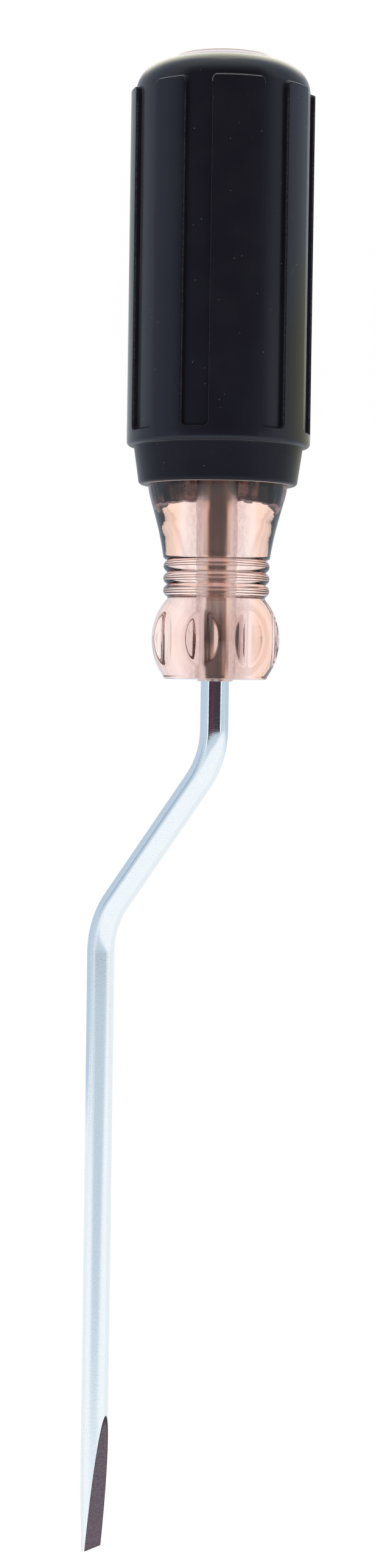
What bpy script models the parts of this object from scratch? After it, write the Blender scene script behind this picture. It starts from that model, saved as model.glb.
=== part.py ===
# A flat-blade screwdriver with a cranked shank: a steel bar, a clear handle core and a rubber grip.
# It lies as it rests on a table: the handle axis is level, and grip and lower shank both touch z = 0.
# Each piece is modelled in the handle's own frame, whose Z runs from the collar's end face to the butt
# and whose X is the way the shank is cranked. One empty turns that frame into the resting place.

import math

import bmesh
import bpy
from mathutils import Vector
from mathutils.geometry import interpolate_bezier

MM = 0.001

# Clearance between pieces that touch
CLEARANCE = 0.3 * MM
# How far a cutter reaches past the surface that it opens
CUT_MARGIN = 1.5 * MM

# Shank: a round bar with two equal bends and a ground blade
SHANK_DIAMETER = 4.76 * MM
SHANK_REACH = 152.4 * MM
SHANK_HOLD = 72.0 * MM
CRANK_OFFSET = 23.1 * MM
CRANK_ANGLE = math.radians(38.4)
CRANK_START = 8.3 * MM
BEND_RADIUS = 14.7 * MM
BLADE_LENGTH = 22.7 * MM
BLADE_TIP_THICKNESS = 0.76 * MM
# The blade is ground a little behind the bar's axis
BLADE_SET = 0.5 * MM
SHANK_SIDES = 24
BEND_STEPS = 8

# Wings swaged out of the held end, which stop the shank from turning in the core
WING_HEIGHT = 1.52 * MM
WING_THICKNESS = 1.6 * MM
WING_LENGTH = 12.0 * MM
WING_RAMP = 3.0 * MM
WING_INSET = 6.0 * MM

# Collar: the fluted ball at the core's front end
COLLAR_FACE_DIAMETER = 16.9 * MM
COLLAR_CORNER = 0.5 * MM
BALL_DIAMETER = 21.6 * MM
BALL_WIDEST = 6.7 * MM
BALL_HEIGHT = 13.5 * MM
BALL_STEPS = 6
FLUTE_COUNT = 8
FLUTE_DEPTH = 1.05 * MM
FLUTE_RADIUS = 5.7 * MM
FLUTE_SIDES = 32
MOUTH_LIP_WALL = 0.27 * MM
MOUTH_LIP_HEIGHT = 0.35 * MM

# Rings between the collar and the neck
RING_COUNT = 3
RING_PITCH = 2.055 * MM
RING_DIAMETER = 17.94 * MM
RING_DEPTH = 0.72 * MM
RING_GAP = 0.38 * MM
# Where the points of a ring's rounded section lie, as shares of the pitch
RING_STEPS = (0.92, 0.7, 0.45, 0.2)

# Neck: a flared cone up to the seat of the grip
NECK_EDGE = 0.7 * MM
NECK_SMALL_DIAMETER = 18.1 * MM
NECK_LENGTH = 11.4 * MM
# The flare's curve handles, as shares of its widening and its length: a long slope, then a short round top
NECK_LOW_HANDLE = (0.325, 0.51)
NECK_HIGH_HANDLE = (0.9, 0.805)
NECK_STEPS = 8

# Seat under the grip, with keying ribs, and the butt that shows through the grip's end
RIB_COUNT = 4
RIB_HEIGHT = 0.8 * MM
RIB_WIDTH = 3.0 * MM
RIB_LENGTH = 43.0 * MM
RIB_INSET = 3.8 * MM
SHOULDER_DROP = 3.5 * MM
SHOULDER_HEIGHT = 4.5 * MM
BUTT_DIAMETER = 18.6 * MM
BUTT_RISE = 1.2 * MM
BUTT_CROWN = 0.2 * MM
BUTT_ROUND = 0.9 * MM

# Grip: a sleeve with a skirt, a lip, eight raised panels and a domed end
GRIP_DIAMETER = 30.9 * MM
GRIP_WALL = 3.45 * MM
SKIRT_GAP = 0.5 * MM
SKIRT_HEIGHT = 6.4 * MM
SKIRT_TAPER = 0.775 * MM
SKIRT_ROUND = 0.7 * MM
LIP_OVERHANG = 1.25 * MM
LIP_ROUND = 1.1 * MM
BAND_HEIGHT = 2.35 * MM
PANEL_LENGTH = 56.95 * MM
PANEL_EDGE = 0.3 * MM
DOME_HEIGHT = 4.6 * MM
# The dome starts a hair inside the floor of the grooves that run out into it
DOME_INSET = 0.05 * MM
DOME_STEPS = 6

# Grooves between the panels; the first panel and the one opposite it are wider than the rest
GROOVE_COUNT = 8
GROOVE_DEPTH = 0.86 * MM
GROOVE_CORNER = 0.75 * MM
PANEL_ANGLE = math.radians(22.5)
WIDE_PANEL_ANGLE = math.radians(33.75)
WIDE_PANEL_TURN = math.radians(134.0)

TURN_SIDES = 48
GRIP_SIDES = 64

# Places along the handle axis, from the collar's face
ring_base = BALL_HEIGHT + RING_GAP
neck_base = ring_base + RING_COUNT * RING_PITCH
neck_top = neck_base + NECK_EDGE + NECK_LENGTH
skirt_base = neck_top + SKIRT_GAP
lip_base = skirt_base + SKIRT_HEIGHT
groove_base = lip_base + BAND_HEIGHT
panel_top = groove_base + PANEL_LENGTH
dome_top = panel_top + DOME_HEIGHT
handle_length = dome_top + BUTT_RISE
shoulder_base = panel_top - SHOULDER_DROP
shoulder_top = shoulder_base + SHOULDER_HEIGHT

# Radii that several pieces share
shank_radius = SHANK_DIAMETER / 2
bore_radius = shank_radius + CLEARANCE
ball_radius = BALL_DIAMETER / 2
root_radius = RING_DIAMETER / 2 - RING_DEPTH
grip_radius = GRIP_DIAMETER / 2
floor_radius = grip_radius - GROOVE_DEPTH
seat_radius = grip_radius - GRIP_WALL - CLEARANCE
butt_radius = BUTT_DIAMETER / 2
panel_pitch = 2 * math.pi / GROOVE_COUNT


def clear_scene():
    for old in list(bpy.data.objects):
        bpy.data.objects.remove(old, do_unlink=True)


def make_material(name, colour, roughness, metallic=0.0, transmission=0.0):
    material = bpy.data.materials.new(name)
    material.use_nodes = True
    shader = material.node_tree.nodes["Principled BSDF"]
    shader.inputs["Base Color"].default_value = (*colour, 1.0)
    shader.inputs["Roughness"].default_value = roughness
    shader.inputs["Metallic"].default_value = metallic
    shader.inputs["Transmission Weight"].default_value = transmission
    material.diffuse_color = (*colour, 1.0)
    return material


def make_object(name, bm, parent, material=None):
    bmesh.ops.recalc_face_normals(bm, faces=bm.faces)
    mesh = bpy.data.meshes.new(name)
    bm.to_mesh(mesh)
    bm.free()
    mesh.shade_smooth()
    mesh.set_sharp_from_angle(angle=math.radians(35))
    piece = bpy.data.objects.new(name, mesh)
    bpy.context.collection.objects.link(piece)
    piece.parent = parent
    if material:
        mesh.materials.append(material)
    else:
        piece.hide_render = True
        piece.display_type = "WIRE"
    return piece


def combine(piece, tool, operation):
    boolean = piece.modifiers.new(tool.name, "BOOLEAN")
    boolean.object = tool
    boolean.operation = operation
    boolean.solver = "EXACT"
    boolean.use_self = True


def turn_outline(bm, outline, sides, closed=False):
    # Spins an outline of (radius, height) points round the Z axis
    points = [bm.verts.new((radius, 0, height)) for radius, height in outline]
    edges = [bm.edges.new(pair) for pair in zip(points, points[1:])]
    if closed:
        edges.append(bm.edges.new((points[-1], points[0])))
    bmesh.ops.spin(bm, geom=points + edges, cent=(0, 0, 0), axis=(0, 0, 1), angle=2 * math.pi,
                   steps=sides, use_merge=True)
    bmesh.ops.remove_doubles(bm, verts=bm.verts, dist=CLEARANCE / 1000)


def add_prism(bm, outline, thickness, place):
    # Extrudes an outline of (x, z) points along Y, centred on it, then moves each point with place
    near = [bm.verts.new(place(Vector((x, -thickness / 2, z)))) for x, z in outline]
    far = [bm.verts.new(place(Vector((x, thickness / 2, z)))) for x, z in outline]
    bm.faces.new(near)
    bm.faces.new(far)
    for i in range(len(outline)):
        j = (i + 1) % len(outline)
        bm.faces.new((near[i], near[j], far[j], far[i]))


def round_points(centre, radius, start, end, steps):
    # Points on an arc in the (radius, height) plane, with angles measured from the outward direction
    angles = [start + (end - start) * i / steps for i in range(steps + 1)]
    return [(centre[0] + radius * math.cos(a), centre[1] + radius * math.sin(a)) for a in angles]


def turned_by(angle):
    def place(point):
        cosine, sine = math.cos(angle), math.sin(angle)
        return Vector((point.x * cosine - point.y * sine, point.x * sine + point.y * cosine, point.z))
    return place


# Shank

def extrude_ring(bm, ring, shift):
    grown = bmesh.ops.extrude_edge_only(bm, edges=ring)["geom"]
    bmesh.ops.translate(bm, verts=[item for item in grown if isinstance(item, bmesh.types.BMVert)], vec=shift)
    return [item for item in grown if isinstance(item, bmesh.types.BMEdge) and is_open(item)]


def bend_ring(bm, ring, centre, angle):
    points = list({vert for edge in ring for vert in edge.verts})
    bent = bmesh.ops.spin(bm, geom=points + ring, cent=centre, axis=(0, 1, 0), angle=angle, steps=BEND_STEPS)
    return [item for item in bent["geom_last"] if isinstance(item, bmesh.types.BMEdge)]


def is_open(edge):
    return len(edge.link_faces) == 1


def bent_bar():
    # Held end, first bend, slanted run, second bend, lower run
    rise = CRANK_OFFSET - 2 * BEND_RADIUS * (1 - math.cos(CRANK_ANGLE))
    slant = rise / math.sin(CRANK_ANGLE)
    first = Vector((BEND_RADIUS, 0, -CRANK_START))
    along = Vector((math.sin(CRANK_ANGLE), 0, -math.cos(CRANK_ANGLE)))
    across = Vector((math.cos(CRANK_ANGLE), 0, math.sin(CRANK_ANGLE)))
    second = first - across * 2 * BEND_RADIUS + along * slant
    lower_run = SHANK_REACH + second.z
    bm = bmesh.new()
    bmesh.ops.create_circle(bm, cap_ends=True, segments=SHANK_SIDES, radius=shank_radius)
    bmesh.ops.translate(bm, verts=bm.verts, vec=(0, 0, SHANK_HOLD))
    ring = list(bm.edges)
    ring = extrude_ring(bm, ring, (0, 0, -SHANK_HOLD - CRANK_START))
    ring = bend_ring(bm, ring, first, -CRANK_ANGLE)
    ring = extrude_ring(bm, ring, along * slant)
    ring = bend_ring(bm, ring, second, CRANK_ANGLE)
    ring = extrude_ring(bm, ring, (0, 0, -lower_run))
    bmesh.ops.contextual_create(bm, geom=ring)
    return bm


def add_wings(bm, grow):
    # Two opposite wings across the crank's plane, with ramped ends
    half = shank_radius + WING_HEIGHT + grow
    top = SHANK_HOLD - WING_INSET + grow
    base = SHANK_HOLD - WING_INSET - WING_LENGTH - grow
    inner = shank_radius / 2
    outline = [(inner, base), (half, base + WING_RAMP), (half, top - WING_RAMP), (inner, top)]
    for angle in (math.pi / 2, -math.pi / 2):
        add_prism(bm, outline, WING_THICKNESS + 2 * grow, turned_by(angle))


def add_blade_cuts(bm):
    # Two wedges that grind the bar down to the tip's thickness, one on each side of the crank's plane
    low = -SHANK_REACH - CUT_MARGIN
    high = -SHANK_REACH + BLADE_LENGTH + CUT_MARGIN
    far = shank_radius + 2 * CUT_MARGIN
    for side in (1, -1):
        tip = side * BLADE_SET + BLADE_TIP_THICKNESS / 2
        slope = (shank_radius - tip) / BLADE_LENGTH
        near_low = tip - slope * CUT_MARGIN
        near_high = shank_radius + slope * CUT_MARGIN
        outline = [(side * near_low, low), (side * far, low), (side * far, high), (side * near_high, high)]
        add_prism(bm, outline, 4 * shank_radius, lambda point: point + Vector((CRANK_OFFSET, 0, 0)))


def make_shank(parent, material):
    shank = make_object("bent_shank", bent_bar(), parent, material)
    wings = bmesh.new()
    add_wings(wings, 0)
    combine(shank, make_object("shank_wings", wings, parent), "UNION")
    grind = bmesh.new()
    add_blade_cuts(grind)
    combine(shank, make_object("blade_grind", grind, parent), "DIFFERENCE")


# Handle core

def arc_drop(length, drop, distance):
    # How far an arc that falls by drop over length has fallen at a distance from its top
    radius = (length ** 2 + drop ** 2) / (2 * drop)
    return radius - math.sqrt(radius ** 2 - distance ** 2)


def ball_points():
    # Down from the ring root to the collar's face
    face = COLLAR_FACE_DIAMETER / 2
    upper = BALL_HEIGHT - BALL_WIDEST
    lower = BALL_WIDEST - COLLAR_CORNER
    points = []
    for i in range(BALL_STEPS):
        distance = upper * (1 - i / BALL_STEPS)
        drop = arc_drop(upper, ball_radius - root_radius, distance)
        points.append((ball_radius - drop, BALL_WIDEST + distance))
    for i in range(BALL_STEPS + 1):
        distance = lower * i / BALL_STEPS
        drop = arc_drop(BALL_WIDEST, ball_radius - face, distance)
        points.append((ball_radius - drop, BALL_WIDEST - distance))
    points.append((face - COLLAR_CORNER / 4, COLLAR_CORNER / 4))
    points.append((face - COLLAR_CORNER, 0))
    return points


def ring_points():
    # Down over the rounded rings from the neck to the ball
    points = []
    for ring in reversed(range(RING_COUNT)):
        for step in RING_STEPS:
            bulge = math.sqrt(math.sin(math.pi * step))
            points.append((root_radius + RING_DEPTH * bulge, ring_base + RING_PITCH * (ring + step)))
        points.append((root_radius, ring_base + RING_PITCH * ring))
    return points


def neck_points():
    # Down the flared neck from the seat to the top ring
    small = NECK_SMALL_DIAMETER / 2
    base = neck_base + NECK_EDGE
    knots = []
    for widening, rise in ((1, 1), NECK_HIGH_HANDLE, NECK_LOW_HANDLE, (0, 0)):
        knots.append(Vector((small + widening * (seat_radius - small), base + rise * NECK_LENGTH, 0)))
    curve = interpolate_bezier(*knots, NECK_STEPS)
    points = [(point.x, point.y) for point in curve]
    points.append((small - NECK_EDGE / 4, neck_base + NECK_EDGE / 3))
    points.append((root_radius, neck_base))
    return points


def core_outline():
    edge = butt_radius - BUTT_ROUND
    points = []
    for share in (0, 0.4, 0.7):
        points.append((edge * share, handle_length - BUTT_CROWN * share ** 2))
    round_centre = (edge, handle_length - BUTT_CROWN - BUTT_ROUND)
    points += round_points(round_centre, BUTT_ROUND, math.pi / 2, 0, 4)
    points += [(butt_radius, shoulder_top), (seat_radius, shoulder_base)]
    points += neck_points()
    points += ring_points()
    points += ball_points()
    lip = bore_radius + MOUTH_LIP_WALL
    points += [(lip, 0), (lip, -MOUTH_LIP_HEIGHT), (0, -MOUTH_LIP_HEIGHT)]
    return points


def add_ribs(bm, grow):
    # Ribs along the seat, which key the grip to the core
    outer = seat_radius + RIB_HEIGHT + grow
    inner = seat_radius / 2
    base = shoulder_base - RIB_INSET - RIB_LENGTH - grow
    top = shoulder_base - RIB_INSET + grow
    outline = [(inner, base), (outer, base), (outer, top), (inner, top)]
    for i in range(RIB_COUNT):
        add_prism(bm, outline, RIB_WIDTH + 2 * grow, turned_by(2 * math.pi * i / RIB_COUNT))


def add_cylinder(bm, radius, base, top, sides, centre=(0, 0)):
    ring = bmesh.ops.create_circle(bm, cap_ends=True, segments=sides, radius=radius)["verts"]
    bmesh.ops.translate(bm, verts=ring, vec=(centre[0], centre[1], base))
    face = ring[0].link_faces[0]
    grown = bmesh.ops.extrude_face_region(bm, geom=[face], use_keep_orig=True)["geom"]
    raised = [item for item in grown if isinstance(item, bmesh.types.BMVert)]
    bmesh.ops.translate(bm, verts=raised, vec=(0, 0, top - base))


def add_flutes(bm):
    # Scallops round the ball, one below each groove of the grip
    reach = ball_radius - FLUTE_DEPTH + FLUTE_RADIUS
    for i in range(FLUTE_COUNT):
        angle = WIDE_PANEL_TURN + 2 * math.pi * (i + 0.5) / FLUTE_COUNT
        centre = (reach * math.cos(angle), reach * math.sin(angle))
        add_cylinder(bm, FLUTE_RADIUS, -CUT_MARGIN, ring_base, FLUTE_SIDES, centre)


def make_core(parent, material):
    body = bmesh.new()
    turn_outline(body, core_outline(), TURN_SIDES)
    core = make_object("handle_core", body, parent, material)
    ribs = bmesh.new()
    add_ribs(ribs, 0)
    combine(core, make_object("core_ribs", ribs, parent), "UNION")
    flutes = bmesh.new()
    add_flutes(flutes)
    combine(core, make_object("ball_flutes", flutes, parent), "DIFFERENCE")
    bore = bmesh.new()
    mouth = -MOUTH_LIP_HEIGHT - CUT_MARGIN
    add_cylinder(bore, bore_radius, mouth, SHANK_HOLD + CLEARANCE, SHANK_SIDES)
    combine(core, make_object("shank_bore", bore, parent), "DIFFERENCE")
    pockets = bmesh.new()
    add_wings(pockets, CLEARANCE)
    combine(core, make_object("wing_pockets", pockets, parent), "DIFFERENCE")


# Cushion grip

def grip_outline():
    # Outer side from the rim of the dome down to the skirt, then back up the bore
    rim = butt_radius + CLEARANCE
    spread = floor_radius - DOME_INSET - rim
    points = []
    for i in range(DOME_STEPS + 1):
        angle = math.pi / 2 * (1 - i / DOME_STEPS)
        points.append((rim + spread * math.cos(angle), panel_top + DOME_HEIGHT * math.sin(angle)))
    points += [(grip_radius - PANEL_EDGE, panel_top), (grip_radius, panel_top - PANEL_EDGE)]
    lip = (grip_radius - LIP_ROUND, lip_base + LIP_ROUND)
    points += round_points(lip, LIP_ROUND, 0, -math.pi / 2, 4)
    skirt_radius = grip_radius - LIP_OVERHANG
    points.append((skirt_radius, lip_base))
    skirt = (skirt_radius - SKIRT_TAPER - SKIRT_ROUND, skirt_base + SKIRT_ROUND)
    points += round_points(skirt, SKIRT_ROUND, 0, -math.pi / 2, 3)
    bore = grip_radius - GRIP_WALL
    points += [(bore, skirt_base), (bore, shoulder_base), (rim, shoulder_top)]
    return points


def add_groove(bm, centre, width):
    # A sunk field that is open at the top and has round corners at the bottom
    top = panel_top + DOME_HEIGHT
    outer = grip_radius + CUT_MARGIN
    corner = GROOVE_CORNER / floor_radius
    inward = [corner * share for share in (0, 0.12, 0.4, 1)]
    angles = inward + [width / 2] + [width - angle for angle in reversed(inward)]
    sections = []
    for angle in angles:
        past = max(0, corner - min(angle, width - angle)) / corner
        base = groove_base + GROOVE_CORNER * (1 - math.sqrt(1 - past ** 2))
        way = turned_by(centre - width / 2 + angle)
        corners = [(floor_radius, base), (outer, base), (outer, top), (floor_radius, top)]
        sections.append([bm.verts.new(way(Vector((radius, 0, height)))) for radius, height in corners])
    for near, far in zip(sections, sections[1:]):
        for i in range(4):
            j = (i + 1) % 4
            bm.faces.new((near[i], near[j], far[j], far[i]))
    bm.faces.new(sections[0])
    bm.faces.new(sections[-1])


def panel_angle(index):
    return WIDE_PANEL_ANGLE if index % (GROOVE_COUNT // 2) == 0 else PANEL_ANGLE


def add_grooves(bm):
    for i in range(GROOVE_COUNT):
        start = panel_pitch * i + panel_angle(i) / 2
        end = panel_pitch * (i + 1) - panel_angle(i + 1) / 2
        add_groove(bm, WIDE_PANEL_TURN + (start + end) / 2, end - start)


def make_grip(parent, material):
    body = bmesh.new()
    turn_outline(body, grip_outline(), GRIP_SIDES, closed=True)
    grip = make_object("cushion_grip", body, parent, material)
    grooves = bmesh.new()
    add_grooves(grooves)
    combine(grip, make_object("panel_grooves", grooves, parent), "DIFFERENCE")
    keyways = bmesh.new()
    add_ribs(keyways, CLEARANCE)
    combine(grip, make_object("rib_keyways", keyways, parent), "DIFFERENCE")


# Resting place

def place_tool():
    # The handle axis lies along X, one grip radius up, turned until the lower shank meets the table.
    # The origin is under the middle of the whole tool.
    tilt = math.asin(min(1, (grip_radius - shank_radius) / CRANK_OFFSET))
    side = CRANK_OFFSET * math.cos(tilt) + shank_radius
    tool = bpy.data.objects.new("tool", None)
    bpy.context.collection.objects.link(tool)
    tool.rotation_mode = "ZYX"
    tool.rotation_euler = (math.pi / 2 + tilt, -math.pi / 2, 0)
    tool.location = ((handle_length - SHANK_REACH) / 2, (side - grip_radius) / 2, grip_radius)
    return tool


def main():
    clear_scene()
    chrome = make_material("chrome_steel", (0.78, 0.80, 0.83), 0.12, metallic=1.0)
    acetate = make_material("tinted_acetate", (0.93, 0.66, 0.55), 0.08, transmission=0.9)
    rubber = make_material("black_rubber", (0.018, 0.020, 0.026), 0.55)
    tool = place_tool()
    make_shank(tool, chrome)
    make_core(tool, acetate)
    make_grip(tool, rubber)


main()
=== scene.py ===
import math

import bmesh
import bpy
import numpy as np
from mathutils import Matrix, Vector
from mathutils.geometry import interpolate_bezier


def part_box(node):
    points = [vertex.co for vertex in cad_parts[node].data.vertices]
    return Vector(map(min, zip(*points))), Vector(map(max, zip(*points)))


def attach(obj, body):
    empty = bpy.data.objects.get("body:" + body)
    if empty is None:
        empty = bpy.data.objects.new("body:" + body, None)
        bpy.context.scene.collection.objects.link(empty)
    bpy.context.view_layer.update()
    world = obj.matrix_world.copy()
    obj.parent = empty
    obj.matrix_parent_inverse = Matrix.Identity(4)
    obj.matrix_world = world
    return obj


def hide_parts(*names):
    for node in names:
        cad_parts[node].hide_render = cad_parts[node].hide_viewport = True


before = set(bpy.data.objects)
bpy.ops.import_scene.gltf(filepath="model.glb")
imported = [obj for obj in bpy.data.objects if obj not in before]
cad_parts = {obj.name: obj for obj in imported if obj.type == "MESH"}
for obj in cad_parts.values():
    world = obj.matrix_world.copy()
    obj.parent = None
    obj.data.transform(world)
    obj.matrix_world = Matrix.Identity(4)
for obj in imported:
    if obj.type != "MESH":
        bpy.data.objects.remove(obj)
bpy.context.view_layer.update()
mm = 0.001

# The handle's axis runs along X through the middle of the core, with the collar's face near its front end
coreLow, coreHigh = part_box("handle_core")
shankLow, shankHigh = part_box("bent_shank")
mouthLip = 0.35 * mm
collarX = coreHigh.x - mouthLip
axisY = (coreLow.y + coreHigh.y) / 2
axisZ = (coreLow.z + coreHigh.z) / 2
print("frame loaded, collar at x = %.2f mm" % (collarX / mm))


# Node wiring

def pick(sockets, key):
    if isinstance(key, int):
        return sockets[key]
    return next(s for s in sockets if key in (s.identifier, s.name) and s.enabled)


class Wire:
    def __init__(self, tree, socket=None):
        self.tree = tree
        self.socket = socket

    def add(self, kind, settings, sockets, output=0):
        node = self.tree.nodes.new("ShaderNode" + kind)
        for name, value in settings.items():
            setattr(node, name, value)
        for name, value in sockets.items():
            socket = pick(node.inputs, name)
            if isinstance(value, Wire):
                self.tree.links.new(value.socket, socket)
            else:
                socket.default_value = value
        return Wire(self.tree, pick(node.outputs, output))

    def maths(self, operation, *values):
        return self.add("Math", {"operation": operation}, dict(enumerate(values)))

    def __add__(self, other):
        return self.maths("ADD", self, other)

    def __radd__(self, other):
        return self.maths("ADD", other, self)

    def __sub__(self, other):
        return self.maths("SUBTRACT", self, other)

    def __rsub__(self, other):
        return self.maths("SUBTRACT", other, self)

    def __mul__(self, other):
        return self.maths("MULTIPLY", self, other)

    def __rmul__(self, other):
        return self.maths("MULTIPLY", other, self)

    def __abs__(self):
        return self.maths("ABSOLUTE", self)

    def rise(self, start, end):
        # 0 before start and 1 past end, smooth between them; start may be the larger one
        low, high = min(start, end), max(start, end)
        first, last = (0.0, 1.0) if start < end else (1.0, 0.0)
        sockets = {"Value": self, "From Min": low, "From Max": high, "To Min": first, "To Max": last}
        return self.add("MapRange", {"interpolation_type": "SMOOTHSTEP"}, sockets)

    def within(self, limits):
        # Two limits give a rise; four give a band that is full between the middle two
        if len(limits) == 2:
            return self.rise(*limits)
        low, lowFull, highFull, high = limits
        return self.rise(low, lowFull) * self.rise(high, highFull)

    def blend(self, first, second):
        sockets = {"Factor_Float": self, "A_Color": first, "B_Color": second}
        return self.add("Mix", {"data_type": "RGBA"}, sockets, "Result_Color")

    def feed(self, node, socket):
        self.tree.links.new(self.socket, node.inputs[socket])


def rgb(red, green, blue):
    return (red, green, blue, 1.0)


def inMm(*values):
    return tuple(value * mm for value in values)


def emptyTree(block):
    block.use_nodes = True
    block.node_tree.nodes.clear()
    return Wire(block.node_tree)


def startMaterial(name, shaderValues):
    material = bpy.data.materials.new(name)
    wire = emptyTree(material)
    shader = wire.tree.nodes.new("ShaderNodeBsdfPrincipled")
    output = wire.tree.nodes.new("ShaderNodeOutputMaterial")
    wire.tree.links.new(shader.outputs[0], output.inputs["Surface"])
    for socket, value in shaderValues.items():
        shader.inputs[socket].default_value = value
    return material, wire, shader


def feedBump(shader, height, strength, distance):
    sockets = {"Strength": strength, "Distance": distance, "Height": height}
    height.add("Bump", {}, sockets).feed(shader, "Normal")


def noise(place, size, detail=2.0, roughness=0.5):
    # Size is the width of one swell, in metres
    sockets = {"Vector": place, "Scale": 1 / size, "Detail": detail, "Roughness": roughness}
    return place.add("TexNoise", {}, sockets)


def specks(place, spacing, outer, inner, share):
    # Round spots, one to a cell of that spacing, kept where the cell's random number passes the share
    cells = {"Vector": place, "Scale": 1 / spacing}
    number = place.add("SeparateColor", {}, {"Color": place.add("TexVoronoi", {}, cells, "Color")})
    return place.add("TexVoronoi", {}, cells).rise(outer, inner) * number.rise(share, share + 0.02)


def objectPlace(wire):
    return wire.add("TexCoord", {}, {}, "Object")


def stretch(place, scale):
    return place.add("Mapping", {}, {"Vector": place, "Scale": scale})


def splitAxes(place):
    return [place.add("SeparateXYZ", {}, {"Vector": place}, axis) for axis in range(3)]


def handlePlace(place):
    # Height from the collar's face to the butt, then the distances beside and above the handle's axis
    x, y, z = splitAxes(place)
    return collarX - x, y - axisY, z - axisZ


def offCentre(side, above):
    return side.maths("SQRT", side * side + above * above)


def highest(first, second):
    return first.maths("MAXIMUM", first, second)


# Meshes

sharpAngle = math.radians(40)


def makePiece(name, points, faces, node):
    mesh = bpy.data.meshes.new(name)
    mesh.from_pydata(points, [], faces)
    mesh.update()
    mesh.shade_smooth()
    mesh.set_sharp_from_angle(angle=sharpAngle)
    return addPiece(name, mesh, node)


def addPiece(name, mesh, node):
    piece = bpy.data.objects.new(name, mesh)
    bpy.context.collection.objects.link(piece)
    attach(piece, "root")
    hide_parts(node)
    return piece


def aroundAxis(radius, height, angle):
    # Height runs from the collar's face to the butt, the angle from straight up towards +Y
    x = collarX - height + 0 * angle
    return np.stack([x, axisY + radius * np.sin(angle), axisZ + radius * np.cos(angle)], axis=-1)


def gridFaces(rows, columns, closeRows):
    faces = []
    for i in range(rows if closeRows else rows - 1):
        top, base = i * columns, (i + 1) % rows * columns
        for j in range(columns):
            k = (j + 1) % columns
            faces.append((top + j, base + j, base + k, top + k))
    return faces


def arcPoints(centre, radius, start, end, steps):
    angles = np.radians(np.linspace(start, end, steps + 1))
    return [(centre[0] + radius * math.cos(a), centre[1] + radius * math.sin(a)) for a in angles]


def smoothMin(first, second, reach):
    share = np.clip(0.5 + 0.5 * (second - first) / reach, 0, 1)
    return second + (first - second) * share - reach * share * (1 - share)


# Camera

cameraSettings = {
    "lens": 64.45,
    "sensor": 36.0,
    "clipStart": 0.01,
    "fromCollar": Vector((3.707, -4.374, 474.69)) * mm,
    "pitch": math.radians(1.696),
    "roll": math.radians(0.82),
}


def makeCamera():
    data = bpy.data.cameras.new("photoCamera")
    data.lens = cameraSettings["lens"]
    data.sensor_width = cameraSettings["sensor"]
    data.clip_start = cameraSettings["clipStart"]
    camera = bpy.data.objects.new("photoCamera", data)
    bpy.context.collection.objects.link(camera)
    pitch, roll = cameraSettings["pitch"], cameraSettings["roll"]
    forward = Vector((math.sin(pitch), 0, -math.cos(pitch)))
    right = Vector((-math.sin(roll), math.cos(roll), 0))
    right = (right - forward * right.dot(forward)).normalized()
    up = right.cross(forward)
    turn = Matrix((right, up, -forward)).transposed().to_4x4()
    place = Vector((collarX, axisY, axisZ)) + cameraSettings["fromCollar"]
    camera.matrix_world = Matrix.Translation(place) @ turn
    bpy.context.scene.camera = camera


makeCamera()
print("camera set")


# Studio: a white tent with a dark opening overhead, seen in the chrome, and a white floor

studio = {
    "white": rgb(1.08, 1.08, 1.08),
    "shade": rgb(0.66, 0.75, 0.82),
    "coolSide": rgb(0.50, 0.55, 0.66),
    "warmSide": rgb(0.46, 0.43, 0.43),
    "fold": rgb(0.42, 0.52, 0.64),
    "opening": rgb(0.030, 0.024, 0.028),
    "maroon": rgb(0.11, 0.012, 0.045),
    "ceiling": rgb(0.050, 0.030, 0.027),
    "rim": rgb(1.5, 1.55, 1.6),
    # Places in the tent, in degrees from straight up: across the handle, then along it towards the blade
    "openingSides": (-50.0, 50.0),
    "openingSoft": 0.6,
    "openingFront": (4.4, 3.6),
    "openingBack": (-4.0, -2.0),
    "maroonAcross": (-34.0, -30.0, -4.0, 0.0),
    "rimReach": (5.0, 6.0),
    "sidesAcross": (-20.0, 20.0),
    "sidesAlong": (-18.0, -14.0, -9.0, -6.0),
    "ceilingPatch": ((-66.0, -50.0, 56.0, 74.0), (-60.0, -35.0, -4.0, -1.0)),
    "foldPatch": ((-60.0, -68.0), (-10.0, -7.0, -3.0, -0.5)),
    "leftPatch": ((-40.0, -50.0), (-11.0, -9.0, 6.5, 10.0)),
    "rightPatch": ((40.0, 50.0), (-6.0, -3.0)),
    "stripPatch": ((84.0, 90.0, 104.0, 110.0), (-6.0, -3.0, 6.5, 8.5)),
    "topLeft": (-76.0, -36.0),
    "topLeftSlope": -1.1,
    "topRight": (106.0, 76.0),
    "topRightSlope": 5.0,
    "topAlong": (-6.0, -3.0, 12.5, 16.5),
    "seamAcross": (-27.0, -24.0, -19.0, -16.0),
    "seamSlope": 6.4,
    "seamAlong": (4.5, 5.5, 8.0, 11.0),
    "seamShare": 0.8,
}


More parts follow.
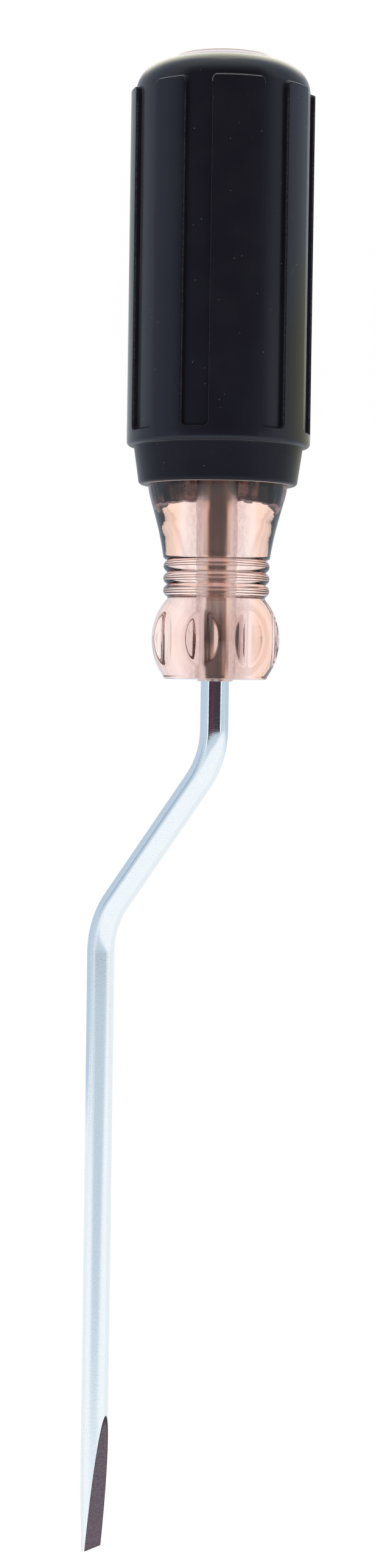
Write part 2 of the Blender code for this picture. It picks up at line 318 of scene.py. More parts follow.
def makeWorld():
    world = bpy.data.worlds.new("tent")
    bpy.context.scene.world = world
    wire = emptyTree(world)
    x, y, z = splitAxes(wire.add("TexCoord", {}, {}, "Generated"))
    degrees = 180 / math.pi
    across = wire.maths("ARCTAN2", y, z) * degrees
    along = wire.maths("ARCSINE", x) * degrees

    def patch(name):
        acrossLimits, alongLimits = studio[name]
        return across.within(acrossLimits) * along.within(alongLimits)

    left, right = studio["openingSides"]
    soft = studio["openingSoft"]
    inside = across.within((left - soft, left + soft, right - soft, right + soft))
    rimStart, rimEnd = studio["rimReach"]
    nearRim = across.within((left - rimEnd, left - rimStart, right + rimStart, right + rimEnd))
    behind = along.within(studio["openingFront"])
    lengthwise = behind * along.within(studio["openingBack"])
    shade = (across + studio["topLeftSlope"] * along).within(studio["topLeft"])
    shade = shade * (across + studio["topRightSlope"] * along).within(studio["topRight"])
    shade = shade * along.within(studio["topAlong"])
    for other in (patch("leftPatch"), patch("rightPatch") * behind, patch("stripPatch")):
        shade = highest(shade, other)
    seam = (across + studio["seamSlope"] * along).within(studio["seamAcross"])
    shade = shade * (1 - studio["seamShare"] * (seam * along.within(studio["seamAlong"])))
    sides = across.within(studio["sidesAcross"]).blend(studio["coolSide"], studio["warmSide"])
    tent = along.within(studio["sidesAlong"]).blend(studio["white"], sides)
    tent = shade.blend(tent, studio["shade"])
    tent = patch("foldPatch").blend(tent, studio["fold"])
    tent = ((nearRim - inside) * lengthwise).blend(tent, studio["rim"])
    tent = patch("ceilingPatch").blend(tent, studio["ceiling"])
    opening = across.within(studio["maroonAcross"]).blend(studio["opening"], studio["maroon"])
    tent = (inside * lengthwise).blend(tent, opening)
    shine = wire.add("Background", {}, {"Color": tent, "Strength": 1.0})
    shine.feed(wire.tree.nodes.new("ShaderNodeOutputWorld"), "Surface")


floorSettings = {
    "size": 6.0,
    "drop": 0.2 * mm,
    "show": 0.95,
    "shineNearHandle": 0.3,
    "matte": rgb(0.95, 0.95, 0.95),
    "white": rgb(1.03, 1.03, 1.03),
    "cool": rgb(0.75, 1.05, 1.35),
    "warm": rgb(1.15, 1.10, 0.20),
    "pastButt": rgb(1.9, 1.85, 1.5),
    "dim": rgb(0.93, 0.91, 0.90),
    "bright": rgb(1.14, 1.17, 1.18),
    "line": rgb(1.15, 1.22, 1.22),
    # Heights from the collar's face to the butt, and distances beside the handle's axis
    "crankSlope": 0.4,
    "middleSide": inMm(-1.5, 1.5),
    "nearHandleHeight": inMm(-82, -68),
    "nearHandleShift": 60 * mm,
    "pastButtHeight": inMm(99, 104),
    "pastButtSide": inMm(42, 18),
    "pastButtSlope": 0.4,
    "warmHeight": inMm(30, 40, 66, 84),
    "lineHeight": inMm(12, 17),
    "lineSide": inMm(1.5, 0.8),
    "streakSize": 1.6 * mm,
    "streakStretch": (0.06, 1.0, 1.0),
}


def floorMaterial():
    material = bpy.data.materials.new("whiteFloor")
    wire = emptyTree(material)
    # White to the camera and streaky through the core; mirrored, dim by the handle, bright past the butt
    kinds = ("Is Camera Ray", "Is Transmission Ray", "Is Glossy Ray")
    direct, through, glossy = [wire.add("LightPath", {}, {}, kind) for kind in kinds]
    mirrored = glossy * (1 - through)
    place = objectPlace(wire)
    height, side = handlePlace(place)[:2]
    beside = abs(side)
    crank = wire.maths("MINIMUM", -floorSettings["crankSlope"] * height, axisY - shankLow.y)
    rightSide = (side + crank).within(floorSettings["middleSide"])
    pastButt = (height - floorSettings["pastButtSlope"] * beside).within(floorSettings["pastButtHeight"])
    pastButt = pastButt * beside.within(floorSettings["pastButtSide"])
    nearHandle = height - floorSettings["nearHandleShift"] * rightSide
    nearHandle = nearHandle.within(floorSettings["nearHandleHeight"]) * (1 - pastButt)
    show = floorSettings["show"]
    shine = show + nearHandle * (floorSettings["shineNearHandle"] - show)
    seen = highest(wire.maths("MINIMUM", direct + through, 1.0) * show, mirrored * shine)
    # Painted light on the floor: dim and bright streaks seen through the core, and cool and warm tints seen
    # in reflections beside the handle
    streaks = noise(stretch(place, floorSettings["streakStretch"]), floorSettings["streakSize"], 3.0, 0.6)
    refracted = streaks.rise(0.32, 0.68).blend(floorSettings["dim"], floorSettings["bright"])
    shown = through.blend(floorSettings["white"], refracted)
    warmth = rightSide * height.within(floorSettings["warmHeight"])
    tinted = warmth.blend(floorSettings["cool"], floorSettings["warm"])
    shown = (nearHandle * mirrored).blend(shown, tinted)
    shown = (pastButt * mirrored).blend(shown, floorSettings["pastButt"])
    # Light that the clear core gathers into a line under itself, seen only through the core
    line = beside.within(floorSettings["lineSide"]) * height.within(floorSettings["lineHeight"]) * through
    shown = line.blend(shown, floorSettings["line"])
    matte = wire.add("BsdfDiffuse", {}, {"Color": floorSettings["matte"]})
    glow = wire.add("Emission", {}, {"Color": shown, "Strength": 1.0})
    mixed = wire.add("MixShader", {}, {0: seen, 1: matte, 2: glow})
    mixed.feed(wire.tree.nodes.new("ShaderNodeOutputMaterial"), "Surface")
    return material


def makeFloor():
    half = floorSettings["size"] / 2
    corners = [(-half, -half, 0), (half, -half, 0), (half, half, 0), (-half, half, 0)]
    mesh = bpy.data.meshes.new("floor")
    mesh.from_pydata(corners, [], [(0, 1, 2, 3)])
    mesh.materials.append(floorMaterial())
    floor = bpy.data.objects.new("floor", mesh)
    bpy.context.collection.objects.link(floor)
    floor.location.z = -floorSettings["drop"]


makeWorld()
makeFloor()
print("studio made")


# Handle core: clear tinted plastic, fluted ball, three rings, flared neck, butt end

core = {
    "boreRadius": 2.36 * mm,
    "boreDepth": 72.0 * mm,
    "lipRadius": 2.95 * mm,
    "lipSoft": 0.1 * mm,
    "faceMiddle": 6.0 * mm,
    "faceRadius": 8.45 * mm,
    "corner": 0.5 * mm,
    "ballRadius": 10.8 * mm,
    "ballWidest": 6.7 * mm,
    "ballHeight": 13.5 * mm,
    "fluteCount": 8,
    "fluteDepth": 1.05 * mm,
    "fluteRadius": 5.7 * mm,
    "fluteEdge": 0.16 * mm,
    "ringBase": 13.88 * mm,
    "ringCount": 3,
    "ringPitch": 2.055 * mm,
    "ringDepth": 0.72 * mm,
    "rootRadius": 8.25 * mm,
    "neckEdge": 0.7 * mm,
    "neckRadius": 9.05 * mm,
    "neckLength": 11.4 * mm,
    "neckCurve": ((1, 1), (0.9, 0.805), (0.325, 0.51), (0, 0)),  # shares of the widening and the length
    "seatRadius": 11.7 * mm,
    "seatBase": 32.645 * mm,
    "shoulderBase": 94.845 * mm,
    "shoulderTop": 99.345 * mm,
    "buttRadius": 9.3 * mm,
    "buttRound": 0.9 * mm,
    "buttCrown": 0.2 * mm,
    "buttShow": 102.9 * mm,
    "length": 104.145 * mm,
    "columns": 384,
    # Finish: heights from the collar's face, distances beside and above the axis
    "clear": rgb(0.995, 0.985, 0.98),
    "tint": rgb(0.94, 0.38, 0.22),
    "tintDensity": 24.0,
    # A painted soft shade beside the bar, mottled
    "paintedBarShade": rgb(0.60, 0.52, 0.55),
    "paintedBarShadeSide": inMm(2.0, 3.0, 3.6, 6.2),
    "paintedBarShadeAbove": inMm(1, 3),
    "neckHeight": inMm(19, 20.5),
    "ballBelow": inMm(14.5, 13.5),
    "warm": rgb(1.0, 0.74, 0.57),
    "warmSide": inMm(5.8, 6.8),
    "warmRight": inMm(5.6, 7.0),
    "swirlSize": 3.0 * mm,
    "pitSize": 0.35 * mm,
    "rippleSize": 2.5 * mm,
    "rippleHeight": inMm(22, 28),
    "dripSize": 3.0 * mm,
    "dripHeight": inMm(26, 29),
    "shadeMottleSize": 0.6 * mm,
    "speck": rgb(0.30, 0.12, 0.08),
    "speckSpacing": 3.2 * mm,
    "buttPatchSize": 5.0 * mm,
    "buttScuffSize": 0.5 * mm,
    "buttWhite": rgb(0.97, 0.96, 0.97),
    "buttPink": rgb(0.94, 0.84, 0.85),
    "buttScuff": rgb(0.90, 0.86, 0.86),
    "buttLine": rgb(0.44, 0.25, 0.26),
    "buttLineHeight": inMm(103.45, 103.75),
    # A painted glow where light leaves the core's end
    "buttGlow": rgb(1.0, 0.91, 0.97),
    "buttGlowStrength": 0.4,
}
panelTurn = math.radians(9.54)  # the wide panel faces almost straight up


def neckOutline():
    base = core["ringBase"] + core["ringCount"] * core["ringPitch"]
    low = base + core["neckEdge"]
    flare = core["seatRadius"] - core["neckRadius"]
    knots = []
    for widening, rise in core["neckCurve"]:
        knots.append(Vector((core["neckRadius"] + widening * flare, low + rise * core["neckLength"], 0)))
    points = [(p.x, p.y) for p in interpolate_bezier(*knots, 36)]
    # The neck's lower edge turns in with a small round
    depth = core["neckRadius"] - core["rootRadius"]
    for angle in np.radians(np.linspace(12, 90, 10)):
        radius = core["neckRadius"] - depth * (1 - math.cos(angle))
        points.append((radius, low - core["neckEdge"] * math.sin(angle)))
    return points


def ringOutline():
    points = []
    for ring in reversed(range(core["ringCount"])):
        for turn in np.linspace(0, math.pi, 19)[1:]:
            share = (1 + math.cos(turn)) / 2
            bulge = max(0, math.sin(math.pi * share)) ** 0.7
            height = core["ringBase"] + core["ringPitch"] * (ring + share)
            points.append((core["rootRadius"] + core["ringDepth"] * bulge, height))
    return points


def arcDrop(length, drop, distance):
    radius = (length ** 2 + drop ** 2) / (2 * drop)
    return radius - math.sqrt(radius ** 2 - distance ** 2)


def ballOutline():
    upper = core["ballHeight"] - core["ballWidest"]
    lower = core["ballWidest"]
    points = []
    for share in np.linspace(1, 0, 40, endpoint=False):
        drop = arcDrop(upper, core["ballRadius"] - core["rootRadius"], upper * share)
        points.append((core["ballRadius"] - drop, core["ballWidest"] + upper * share))
    for distance in np.linspace(0, lower - core["corner"], 40):
        drop = arcDrop(lower, core["ballRadius"] - core["faceRadius"], distance)
        points.append((core["ballRadius"] - drop, lower - distance))
    corner = core["corner"]
    edge = points[-1][0]
    for angle in np.radians(np.linspace(10, 90, 8)):
        points.append((edge - corner * (1 - math.cos(angle)), corner * (1 - math.sin(angle))))
    return points


def coreOutline():
    edge = core["buttRadius"] - core["buttRound"]
    points = [(edge * s, core["length"] - core["buttCrown"] * s ** 2) for s in (0.3, 0.6, 0.85)]
    centre = (edge, core["length"] - core["buttCrown"] - core["buttRound"])
    points += arcPoints(centre, core["buttRound"], 90, 0, 8)
    points += [(core["buttRadius"], core["shoulderTop"]), (core["seatRadius"], core["shoulderBase"])]
    points.append((core["seatRadius"], core["seatBase"]))
    points += neckOutline() + ringOutline() + ballOutline()
    # A low lip stands round the bar where it enters
    lip, soft = core["lipRadius"], core["lipSoft"]
    points += [(core["faceMiddle"], 0), (lip + 3 * soft, 0), (lip + soft, -soft), (lip, -mouthLip * 0.8)]
    points += [(lip - soft, -mouthLip), (core["boreRadius"], -mouthLip)]
    points.append((core["boreRadius"], core["boreDepth"]))
    return points


def fluted(radius, height, angle):
    # Scallops cut by round bars that stand beside the ball
    reach = core["ballRadius"] - core["fluteDepth"] + core["fluteRadius"]
    pitch = 2 * math.pi / core["fluteCount"]
    off = (angle - panelTurn) % pitch - pitch / 2
    inside = core["fluteRadius"] ** 2 - (reach * np.sin(off)) ** 2
    flute = reach * np.cos(off) - np.sqrt(np.maximum(inside, 0))
    flute = np.where(inside > 0, flute, 1.0)
    cut = smoothMin(radius + 0 * angle, flute, core["fluteEdge"])
    onBall = (height > 0) & (height < core["ringBase"]) & (radius > core["faceRadius"] * 0.8)
    return np.where(onBall, cut, radius + 0 * angle)


def coreMaterial():
    values = {"Base Color": core["clear"], "Roughness": 0.02, "IOR": 1.47, "Transmission Weight": 1.0}
    material, wire, shader = startMaterial("copperTintAcetate", values)
    place = objectPlace(wire)
    height, side, above = handlePlace(place)
    swirl = noise(stretch(place, (0.25, 1.0, 1.0)), core["swirlSize"], 3.0)
    pits = noise(place, core["pitSize"])
    ripple = noise(stretch(place, (2.5, 0.7, 0.7)), core["rippleSize"])
    drips = noise(stretch(place, (0.7, 1.5, 1.5)), core["dripSize"], 0.3)
    swell = swirl * 0.7 + pits * 0.05
    swell = swell + ripple * height.within(core["rippleHeight"]) * 0.5
    swell = swell + drips * height.within(core["dripHeight"]) * 2.4
    feedBump(shader, swell, 0.12, 0.4 * mm)
    (0.012 + 0.03 * pits.rise(0.55, 0.8)).feed(shader, "Roughness")
    # A painted soft shade on both sides of the bar, mottled, and a warmer tint towards the edges
    upper = above.within(core["paintedBarShadeAbove"])
    onNeck = height.within(core["neckHeight"])
    onBall = height.within(core["ballBelow"])
    paintedBarShade = abs(side).within(core["paintedBarShadeSide"]) * upper * (0.3 + 0.7 * highest(onNeck, onBall))
    fineMottle = noise(stretch(place, (0.5, 1.0, 1.0)), core["shadeMottleSize"], 3.0, 0.65).rise(0.35, 0.65)
    base = (paintedBarShade * (0.65 + 0.5 * fineMottle)).blend(core["clear"], core["paintedBarShade"])
    warm = highest(abs(side).within(core["warmSide"]) * onNeck, side.within(core["warmRight"])) * upper
    base = warm.blend(base, core["warm"])
    dirt = specks(place, core["speckSpacing"], 0.035, 0.02, 0.70)
    dirt.blend(base, core["speck"]).feed(shader, "Base Color")
    tint = wire.add("VolumeAbsorption", {}, {"Color": core["tint"], "Density": core["tintDensity"]})
    tint.feed(shader.outputs[0].links[0].to_node, "Volume")
    return material


def buttMaterial():
    values = {"Base Color": rgb(0.95, 0.92, 0.92), "Roughness": 0.4, "IOR": 1.47, "Coat Weight": 1.0,
              "Coat Roughness": 0.08, "Emission Strength": core["buttGlowStrength"]}
    material, wire, shader = startMaterial("frostedButt", values)
    place = objectPlace(wire)
    height, side, above = handlePlace(place)
    fineMottle = noise(place, core["buttScuffSize"], 4.0, 0.6)
    patch = noise(place, core["buttPatchSize"])
    base = patch.rise(0.4, 0.65).blend(core["buttWhite"], core["buttPink"])
    base = fineMottle.rise(0.3, 0.7).blend(base, core["buttScuff"])
    (0.3 + 0.2 * fineMottle).feed(shader, "Roughness")
    feedBump(shader, fineMottle, 0.2, 0.05 * mm)
    # Light that the clear core carries to its end leaves below the rounded edge, which shows as a line; the
    # line's colour and the glow there are painted
    edge = core["buttRadius"] - core["buttRound"]
    rounded = height.within(core["buttLineHeight"])
    line = rounded * offCentre(side, above).rise(edge - 0.1 * mm, edge + 0.1 * mm)
    line.blend(base, core["buttLine"]).feed(shader, "Base Color")
    rounded.blend(core["buttGlow"], rgb(0.0, 0.0, 0.0)).feed(shader, "Emission Color")
    return material


def makeCore():
    outline = np.array(coreOutline())
    angle = np.linspace(0, 2 * math.pi, core["columns"], endpoint=False)[None, :]
    radius, height = outline[:, 0:1], outline[:, 1:2]
    points = aroundAxis(fluted(radius, height, angle), height, angle)
    rows, columns = points.shape[:2]
    faces = gridFaces(rows, columns, False)
    faces.append(tuple(range(columns)))
    faces.append(tuple(reversed(range((rows - 1) * columns, rows * columns))))
    piece = makePiece("clearCore", points.reshape(-1, 3).tolist(), faces, "handle_core")
    piece.data.materials.append(coreMaterial())
    piece.data.materials.append(buttMaterial())
    for face in piece.data.polygons:
        if all(piece.data.vertices[v].co.x < collarX - core["buttShow"] for v in face.vertices):
            face.material_index = 1


makeCore()
print("handle core made")


# Cushion grip: black rubber sleeve with a skirt, a lip, raised panels and a domed end

grip = {
    "radius": 15.45 * mm,
    "bore": 11.69 * mm,
    "skirtBase": 32.645 * mm,
    "skirtRound": 0.7 * mm,
    "skirtTaper": 0.775 * mm,
    "lipBase": 39.045 * mm,
    "lipRound": 0.75 * mm,
    "lipFillet": 0.25 * mm,
    "lipOverhang": 1.25 * mm,
    "grooveBase": 41.395 * mm,
    "grooveDepth": 0.86 * mm,
    "grooveCorner": 0.75 * mm,
    "panelTop": 98.345 * mm,
    "panelCorner": 0.8 * mm,
    "domeHeight": 4.6 * mm,
    "rim": 9.29 * mm,
    "panelCount": 8,
    "panelAngle": math.radians(22.5),
    "widePanelAngle": math.radians(33.75),
    "wallIn": 0.22 * mm,
    "wallOut": 0.20 * mm,
    # Fine mesh steps, and how far they reach on each side of a panel's edge
    "fineStep": 0.085 * mm,
    "fineIn": 0.95 * mm,
    "fineOut": 0.75 * mm,
    "fineAbove": 0.55 * mm,
    "fineBelow": 0.5 * mm,
    "fineGap": 1.2 * mm,
    # Finish: the rubbed edge line, partly a painted highlight, and the walls are shares of the raised
    # height
    "grainSize": 0.16 * mm,
    "cloudSize": 6.0 * mm,
    "dotSize": 0.5 * mm,
    "mottleSize": 0.7 * mm,
    "dark": rgb(0.0096, 0.0074, 0.0126),
    "light": rgb(0.0120, 0.0098, 0.0148),
    "specular": rgb(0.52, 0.68, 1.0),
    "sheen": rgb(1.0, 1.0, 0.97),
    "edgeLineShare": 0.86,
    "edgeLineWidth": 0.13,
    "wallShares": (0.02, 0.995),
    "wallTop": 2.0 * mm,
    # Edge lines, rubbed and partly a painted highlight
    "topRubAndHighlight": rgb(0.026, 0.028, 0.034),
    "topEdgeLineAbove": inMm(-4.0, -1.0),
    "sideRubAndHighlight": rgb(0.110, 0.112, 0.120),
    # A painted sheen lightens the dome's rim
    "paintedRimSheen": rgb(0.10, 0.098, 0.08),
    "paintedRimSheenAbove": inMm(3.2, 4.4),
    "domeCoatAbove": inMm(1.2, 3.6),
    "dust": rgb(0.42, 0.42, 0.42),
    "dustKinds": ((2.1 * mm, 0.50, 0.036), (1.1 * mm, 0.72, 0.055)),  # spacing, share left out, size
    "filmDark": rgb(0.16, 0.13, 0.14),
    "filmLight": rgb(0.86, 0.78, 0.80),
    "filmSide": inMm(2.7, 1.7),
    "filmAbove": inMm(-9.0, -10.0),
    "filmRadius": inMm(12.8, 12.4),
    "filmHeight": inMm(46.0, 44.0),
}


def panelEdges():
    # Start and end angle of each panel, from the wide one that faces up
    pitch = 2 * math.pi / grip["panelCount"]
    edges = []
    for i in range(grip["panelCount"]):
        wide = i % (grip["panelCount"] // 2) == 0
        half = (grip["widePanelAngle"] if wide else grip["panelAngle"]) / 2
        edges.append((panelTurn + pitch * i - half, panelTurn + pitch * i + half))
    return edges


def gripAngles():
    fine = np.arange(-grip["fineIn"], grip["fineOut"], grip["fineStep"]) / grip["radius"]
    angles = []
    edges = panelEdges()
    for i, (start, end) in enumerate(edges):
        following = edges[(i + 1) % len(edges)][0] + (2 * math.pi if i + 1 == len(edges) else 0)
        angles += list(start - fine[::-1])
        angles += list(np.linspace(start - fine[0], end + fine[0], 8)[1:-1])
        angles += list(end + fine)
        angles += list(np.linspace(end + fine[-1], following - fine[-1], 6)[1:-1])
    return np.array(angles)


def gripRows():
    # Heights and plain radii down the outside, with the panels' share still to be added
    rim, top, base = grip["rim"], grip["panelTop"], grip["grooveBase"]
    floor = grip["radius"] - grip["grooveDepth"]
    spread = floor - rim
    rows = []
    for angle in np.radians(np.linspace(90, 8, 22)):
        rows.append((rim + spread * math.cos(angle), top + grip["domeHeight"] * math.sin(angle)))
    step = grip["fineStep"]
    for height in np.arange(top + grip["fineAbove"], top - grip["fineIn"], -step):
        rise = max(0, height - top) / grip["domeHeight"]
        rows.append((rim + spread * math.sqrt(1 - rise ** 2), height))
    for height in np.linspace(top - grip["fineGap"], base + grip["fineGap"], 18):
        rows.append((floor, height))
    for height in np.arange(base + grip["fineIn"], base - grip["fineBelow"], -step):
        rows.append((floor, height))
    return rows


def skirtOutline():
    lip = grip["lipRound"]
    points = arcPoints((grip["radius"] - lip, grip["lipBase"] + lip), lip, 0, -90, 10)
    skirt = grip["radius"] - grip["lipOverhang"]
    fillet = grip["lipFillet"]
    points += arcPoints((skirt + fillet, grip["lipBase"] - fillet), fillet, 90, 180, 4)
    edge = skirt - grip["skirtTaper"]
    turn = grip["skirtRound"]
    points += arcPoints((edge - turn, grip["skirtBase"] + turn), turn, 3, -90, 8)
    points.append((grip["bore"], grip["skirtBase"]))
    points += [(grip["bore"], core["shoulderBase"]), (grip["rim"], core["shoulderTop"])]
    return points


def raisedShare(angle, height):
    # 1 on a panel or the band, 0 on the groove's floor, from the distance to the nearest panel's edge
    edges = panelEdges()
    turn = (angle - edges[0][0]) % (2 * math.pi) + edges[0][0]
    beside = np.full(np.broadcast(angle, height).shape, 1.0)
    for start, end in edges + [(edges[0][0] + 2 * math.pi, edges[0][1] + 2 * math.pi)]:
        beside = np.minimum(beside, np.maximum(start - turn, turn - end) * grip["radius"] + 0 * height)
    above = height - grip["panelTop"] + 0 * angle
    below = grip["grooveBase"] - height + 0 * angle
    panel = roundCorner(beside, above, grip["panelCorner"])
    groove = roundCorner(-beside, below, grip["grooveCorner"])
    outside = np.where(height > (grip["panelTop"] + grip["grooveBase"]) / 2, panel, -groove)
    share = np.clip((outside + grip["wallIn"]) / (grip["wallIn"] + grip["wallOut"]), 0, 1)
    return 0.5 + 0.5 * np.cos(math.pi * share)


def roundCorner(first, second, radius):
    # Signed distance to a corner of the two edges, rounded by the radius
    a, b = first + radius, second + radius
    return np.hypot(np.maximum(a, 0), np.maximum(b, 0)) - radius + np.minimum(np.maximum(a, b), 0)


def gripMaterial(name, ior, sheen, coat):
    values = {"Base Color": rgb(0.005, 0.006, 0.009), "Roughness": 0.42, "IOR": ior,
              "Specular Tint": grip["specular"], "Sheen Weight": sheen, "Sheen Roughness": 0.26,
              "Sheen Tint": grip["sheen"], "Coat Weight": coat, "Coat Roughness": 0.16}
    material, wire, shader = startMaterial(name, values)
    place = objectPlace(wire)
    height, side, above = handlePlace(place)
    overPanels = height - grip["panelTop"]
    grain = noise(place, grip["grainSize"], 3.0, 0.6)
    cloud = noise(place, grip["cloudSize"], 3.0)
    (0.33 + 0.12 * cloud + 0.06 * grain).feed(shader, "Roughness")
    feedBump(shader, grain, 0.25, 0.03 * mm)
    (coat + (1 - coat) * overPanels.within(grip["domeCoatAbove"])).feed(shader, "Coat Weight")
    base = cloud.rise(0.35, 0.7).blend(grip["dark"], grip["light"])
    # Rubbed edges with a painted highlight, faint at the panels' tops, and a painted sheen on the dome's
    # rim
    rubAndHighlight = wire.add("Attribute", {"attribute_name": "edgeRubAndHighlight"}, {}, "Fac")
    nearTop = overPanels.within(grip["topEdgeLineAbove"])
    base = (rubAndHighlight * nearTop * cloud.rise(0.25, 0.6)).blend(base, grip["topRubAndHighlight"])
    dots = noise(place, grip["dotSize"], 3.0, 0.6).rise(0.35, 0.65)
    base = (rubAndHighlight * (1 - nearTop) * (0.35 + 0.65 * dots)).blend(base, grip["sideRubAndHighlight"])
    base = overPanels.within(grip["paintedRimSheenAbove"]).blend(base, grip["paintedRimSheen"])
    # Thin film of plastic on the underside of the bore
    film = abs(side).within(grip["filmSide"]) * above.within(grip["filmAbove"])
    film = film * offCentre(side, above).within(grip["filmRadius"]) * height.within(grip["filmHeight"])
    mottle = noise(place, grip["mottleSize"], 4.0, 0.65).rise(0.3, 0.7)
    base = film.blend(base, mottle.blend(grip["filmDark"], grip["filmLight"]))
    for spacing, share, size in grip["dustKinds"]:
        base = specks(place, spacing, size, size / 2, share).blend(base, grip["dust"])
    base.feed(shader, "Base Color")
    return material


def makeGrip():
    angle = gripAngles()[None, :]
    outside = np.array(gripRows())
    radius, height = outside[:, 0:1], outside[:, 1:2]
    raised = raisedShare(angle, height)
    radius = radius + (grip["radius"] - radius) * raised
    points = [aroundAxis(radius, height, angle)]
    below = np.array(skirtOutline())
    points.append(aroundAxis(below[:, 0:1] + 0 * angle, below[:, 1:2], angle))
    points = np.concatenate(points)
    rows, columns = points.shape[:2]
    faces = gridFaces(rows, columns, True)
    piece = makePiece("rubberGrip", points.reshape(-1, 3).tolist(), faces, "cushion_grip")
    rubAndHighlight = np.zeros(rows * columns)
    rubAndHighlight[:raised.size] = np.clip(1 - np.abs(raised - grip["edgeLineShare"]) / grip["edgeLineWidth"], 0, 1).ravel()
    piece.data.attributes.new("edgeRubAndHighlight", "FLOAT", "POINT").data.foreach_set("value", rubAndHighlight)
    low, high = grip["wallShares"]
    steep = (raised > low) & (raised < high) & (height < grip["panelTop"] - grip["wallTop"])
    wall = np.zeros(rows * columns, bool)
    wall[:raised.size] = steep.ravel()
    # Shaded copies of the rubber, with less gloss, sheen and coat, paint the skirt and the groove walls
    # darker
    piece.data.materials.append(gripMaterial("satinBlackRubber", 1.36, 1.0, 0.3))
    piece.data.materials.append(gripMaterial("shadedSkirtRubber", 1.27, 0.7, 0.1))
    piece.data.materials.append(gripMaterial("shadedWallRubber", 1.27, 0.0, 0.0))
    skirtFace = collarX - grip["lipBase"] - 0.05 * mm
    for face in piece.data.polygons:
        if all(piece.data.vertices[v].co.x > skirtFace for v in face.vertices):
            face.material_index = 1
        elif any(wall[v] for v in face.vertices):
            face.material_index = 2


makeGrip()
print("cushion grip made")


# Shank: chrome bar with two bends, ground to a flat blade

shank = {
    "radius": 2.38 * mm,
    "hold": 71.9 * mm,
    "crankStart": 8.3 * mm,
    "crankAngle": math.radians(38.4),
    "bendRadius": 14.7 * mm,
    "bladeLength": 23.8 * mm,
    "bladeLead": 3.0 * mm,
    "tipThickness": 0.76 * mm,
    "bladeSet": 0.5 * mm,
    "sides": 72,
    "bendSteps": 28,
    "sharpAngle": math.radians(20),
    # Finish: heights from the collar's face, distances beside and above the handle's axis
    "grainSize": 0.12 * mm,
    "drawnSize": 0.22 * mm,
    "peelSize": 0.3 * mm,
    "chromeDark": rgb(0.72, 0.79, 0.84),
    "chromeLight": rgb(0.87, 0.92, 0.95),
    "held": rgb(0.82, 0.75, 0.73),
    "heldHeight": inMm(-0.1, 0.1),
    # A painted reflection band along the bar's top inside the core, pinkish on the neck and dark in the
    # ball
    "paintedReflectionNeck": rgb(0.84, 0.60, 0.51),
    "paintedReflectionBall": rgb(0.21, 0.135, 0.115),
    "paintedReflectionShare": 0.85,
    "paintedReflectionSide": inMm(1.5, 1.1),
    "paintedReflectionAbove": inMm(0.0, 0.6),
    "ballHeight": inMm(4.0, 7.0, 12.0, 14.0),
    "pit": rgb(0.12, 0.13, 0.16),
    "pitSpacing": 6.0 * mm,
    "groundGrainSize": 0.14 * mm,
    "groundLineSize": 0.10 * mm,
    "groundDark": rgb(0.070, 0.050, 0.072),
    "groundLight": rgb(0.225, 0.175, 0.205),
    "groundEdge": rgb(0.022, 0.018, 0.026),
    "groundEdgeShare": 0.75,
    "edgeBelowRadius": inMm(0.2, 0.06),
    "edgeFromTip": inMm(0.25, 0.1),
}
lowerRun = Vector((0, shankLow.y + shank["radius"] - axisY, shankLow.z + shank["radius"] - axisZ))
crankWay = lowerRun.normalized()
crankOffset = lowerRun.length
sideWay = Vector((1, 0, 0)).cross(crankWay)
reachX = shankHigh.x - collarX


def barPath():
    # Places on the bar's axis as (along, crank), each with the bar's heading there
    bend, angle = shank["bendRadius"], shank["crankAngle"]
    rise = crankOffset - 2 * bend * (1 - math.cos(angle))
    slant = rise / math.tan(angle)
    turns = np.linspace(0, angle, shank["bendSteps"] + 1)
    path = [(-shank["hold"], 0, 0)]
    path += [(shank["crankStart"] + bend * math.sin(a), bend * (1 - math.cos(a)), a) for a in turns]
    start = path[-1]
    foot = (start[0] + slant, start[1] + rise)
    for a in reversed(turns):
        along = foot[0] + bend * (math.sin(angle) - math.sin(a))
        crank = foot[1] + bend * (math.cos(a) - math.cos(angle))
        path.append((along, crank, a))
    return path


def barPoint(along, crank, heading, angle):
    out = shank["radius"] * math.cos(angle)
    side = shank["radius"] * math.sin(angle)
    centre = Vector((collarX + along - out * math.sin(heading), axisY, axisZ))
    return centre + crankWay * (crank + out * math.cos(heading)) + sideWay * side


def bridge(bm, first, second):
    for i in range(len(first)):
        j = (i + 1) % len(first)
        bm.faces.new((first[i], first[j], second[j], second[i]))


def grindBlade(bm, faces):
    # Cuts the bar down to the tip's thickness from both sides and returns the ground faces
    ground = []
    end = Vector((shankHigh.x, axisY, axisZ)) + crankWay * crankOffset
    for side in (1, -1):
        reach = side * shank["bladeSet"] + shank["tipThickness"] / 2
        slope = (shank["radius"] - reach) / shank["bladeLength"]
        normal = (crankWay * side + Vector((slope, 0, 0))).normalized()
        faces = [f for f in faces if f.is_valid]
        geom = list({v for f in faces for v in f.verts}) + list({e for f in faces for e in f.edges}) + faces
        known = set(bm.faces)
        place = end + crankWay * (side * reach)
        cut = bmesh.ops.bisect_plane(bm, geom=geom, plane_co=place, plane_no=normal,
                                     clear_outer=True, dist=1e-9)
        edges = [e for e in cut["geom_cut"] if isinstance(e, bmesh.types.BMEdge)]
        ground += bmesh.ops.contextual_create(bm, geom=edges)["faces"]
        for edge in edges:
            edge.smooth = False
        faces = [f for f in bm.faces if f not in known or f in faces]
    return [f for f in ground if f.is_valid]


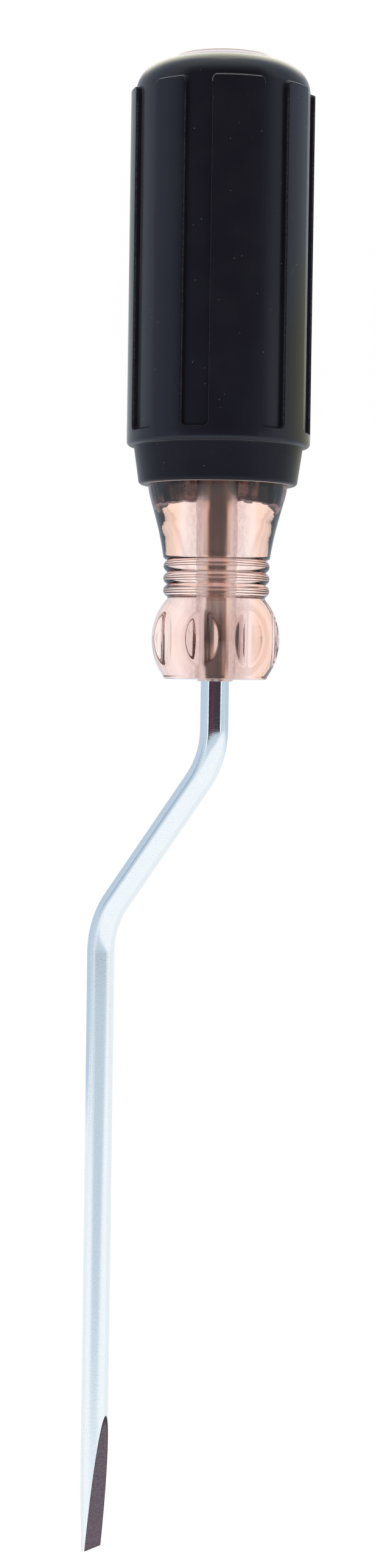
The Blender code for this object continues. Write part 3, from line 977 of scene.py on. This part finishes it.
def chromeMaterial():
    values = {"Base Color": rgb(0.80, 0.86, 0.90), "Metallic": 1.0, "Roughness": 0.08}
    material, wire, shader = startMaterial("polishedChrome", values)
    place = objectPlace(wire)
    height, side, above = handlePlace(place)
    grain = noise(place, shank["grainSize"], 2.0, 0.6)
    drawn = noise(stretch(place, (0.06, 1.0, 1.0)), shank["drawnSize"])
    base = grain.rise(0.3, 0.7).blend(shank["chromeDark"], shank["chromeLight"])
    # Dull where the plastic was moulded round it, with a painted reflection band along its top that the
    # clear core shows
    held = height.within(shank["heldHeight"])
    base = held.blend(base, shank["held"])
    paintedReflectionBand = abs(side).within(shank["paintedReflectionSide"]) * above.within(shank["paintedReflectionAbove"]) * held
    tone = height.within(shank["ballHeight"]).blend(shank["paintedReflectionNeck"], shank["paintedReflectionBall"])
    base = (paintedReflectionBand * shank["paintedReflectionShare"]).blend(base, tone)
    pit = wire.add("TexVoronoi", {}, {"Vector": place, "Scale": 1 / shank["pitSpacing"]}).rise(0.03, 0.015)
    pit.blend(base, shank["pit"]).feed(shader, "Base Color")
    (0.05 + 0.07 * grain + 0.04 * drawn + 0.14 * held).feed(shader, "Roughness")
    peel = noise(place, shank["peelSize"], 2.0, 0.6) + grain * 0.5
    feedBump(shader, peel, 0.22, 0.02 * mm)
    return material


def groundMaterial():
    values = {"Base Color": rgb(0.14, 0.11, 0.145), "Metallic": 1.0, "Roughness": 0.45}
    material, wire, shader = startMaterial("groundSteel", values)
    place = objectPlace(wire)
    height, side, above = handlePlace(place)
    grain = noise(place, shank["groundGrainSize"], 3.0, 0.7)
    lines = noise(stretch(place, (1.0, 0.12, 0.12)), shank["groundLineSize"])
    mixed = (grain * 0.7 + lines * 0.3).rise(0.38, 0.62)
    base = mixed.blend(shank["groundDark"], shank["groundLight"])
    # The flats' edges are darker
    inwards = shank["radius"] - offCentre(side - lowerRun.y, above - lowerRun.z)
    edge = highest(inwards.within(shank["edgeBelowRadius"]), (height + reachX).within(shank["edgeFromTip"]))
    (edge * shank["groundEdgeShare"]).blend(base, shank["groundEdge"]).feed(shader, "Base Color")
    (0.38 + 0.18 * grain).feed(shader, "Roughness")
    feedBump(shader, lines, 0.35, 0.02 * mm)
    return material


def makeShank():
    bm = bmesh.new()
    angles = np.linspace(0, 2 * math.pi, shank["sides"], endpoint=False)
    bladeStart = reachX - shank["bladeLength"] - shank["bladeLead"]
    path = barPath() + [(bladeStart, crankOffset, 0), (reachX, crankOffset, 0)]
    rings = []
    for along, crank, heading in path:
        rings.append([bm.verts.new(barPoint(along, crank, heading, a)) for a in angles])
    for first, second in zip(rings, rings[1:]):
        bridge(bm, first, second)
    bm.faces.new(rings[0])
    end = bm.faces.new(tuple(reversed(rings[-1])))
    bm.faces.index_update()
    blade = [f for f in bm.faces if all(v.co.x > collarX + bladeStart - mm for v in f.verts)]
    ground = grindBlade(bm, blade)
    if end.is_valid:
        ground.append(end)
    bmesh.ops.recalc_face_normals(bm, faces=bm.faces)
    for face in bm.faces:
        face.smooth = True
    for face in ground:
        face.material_index = 1
        face.smooth = False
    for edge in bm.edges:
        edge.smooth = edge.smooth and edge.calc_face_angle(0) < shank["sharpAngle"]
    mesh = bpy.data.meshes.new("chromeShank")
    bm.to_mesh(mesh)
    bm.free()
    mesh.materials.append(chromeMaterial())
    mesh.materials.append(groundMaterial())
    addPiece("chromeShank", mesh, "bent_shank")


makeShank()
print("shank made")


bpy.context.scene.view_settings.view_transform = "Standard"
